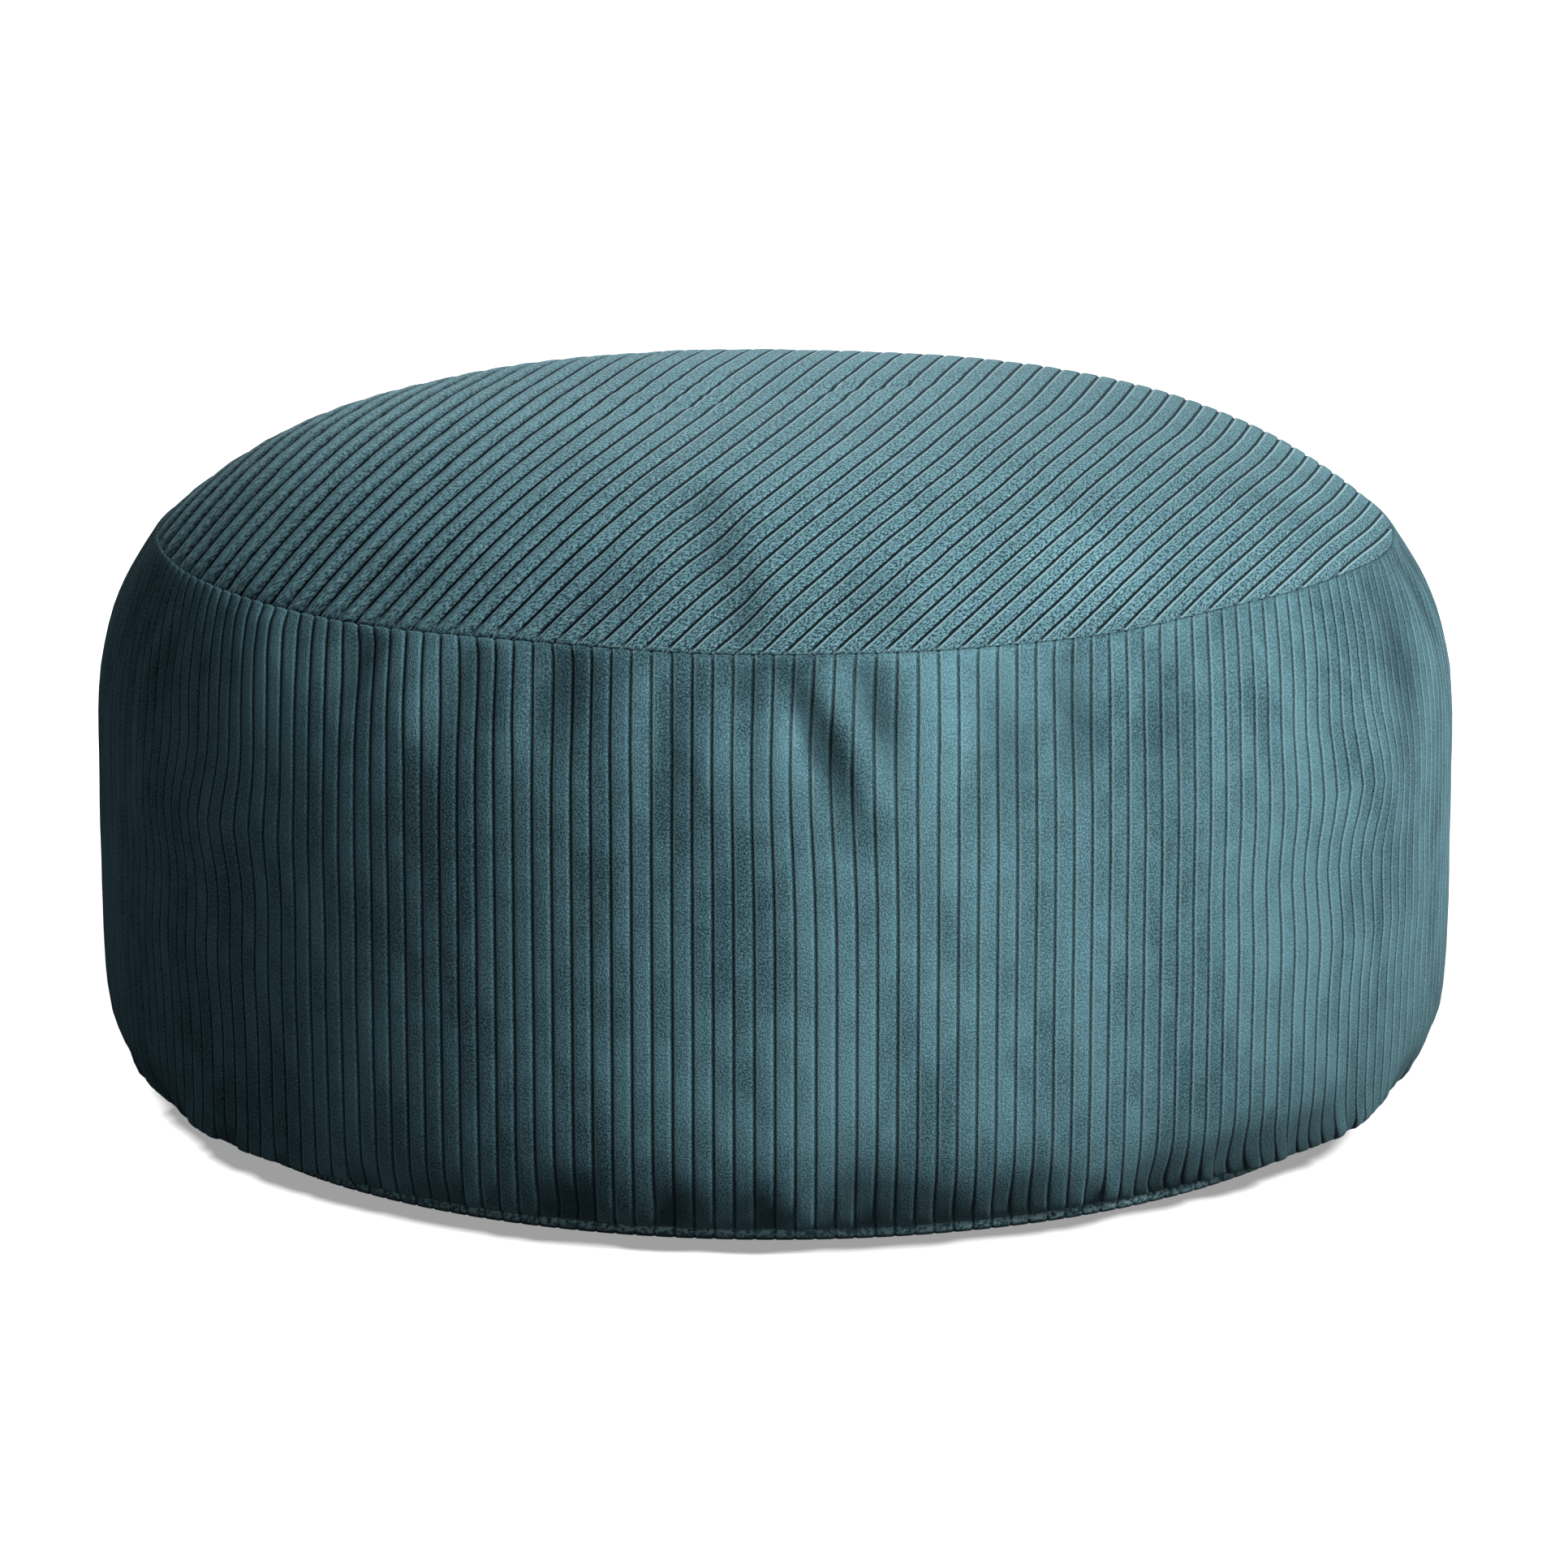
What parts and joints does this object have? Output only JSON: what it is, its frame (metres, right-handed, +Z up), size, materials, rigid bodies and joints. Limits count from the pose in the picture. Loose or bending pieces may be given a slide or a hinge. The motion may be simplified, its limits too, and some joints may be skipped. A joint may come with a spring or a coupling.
{
  "type": "round corduroy bean bag",
  "caption": "Low round bean bag pouf in wide-wale corduroy, a filled drum with a crowned top panel, upright side band and flat base.",
  "frame": {"origin": "middle of the base, on the floor", "axes": "+Z up through the middle of the drum; -Y is the front that faces the viewer; the top panel's wales run 78 degrees from +X towards +Y in its middle and bow towards the seam"},
  "size_m": [0.6, 0.6, 0.306],
  "materials": {
    "corduroy": "matte wide-wale corduroy pile, dusty teal"
  },
  "bodies": {
    "root": {"bag_body": "corduroy", "top_panel": "corduroy", "base_panel": "corduroy"}
  },
  "joints": []
}
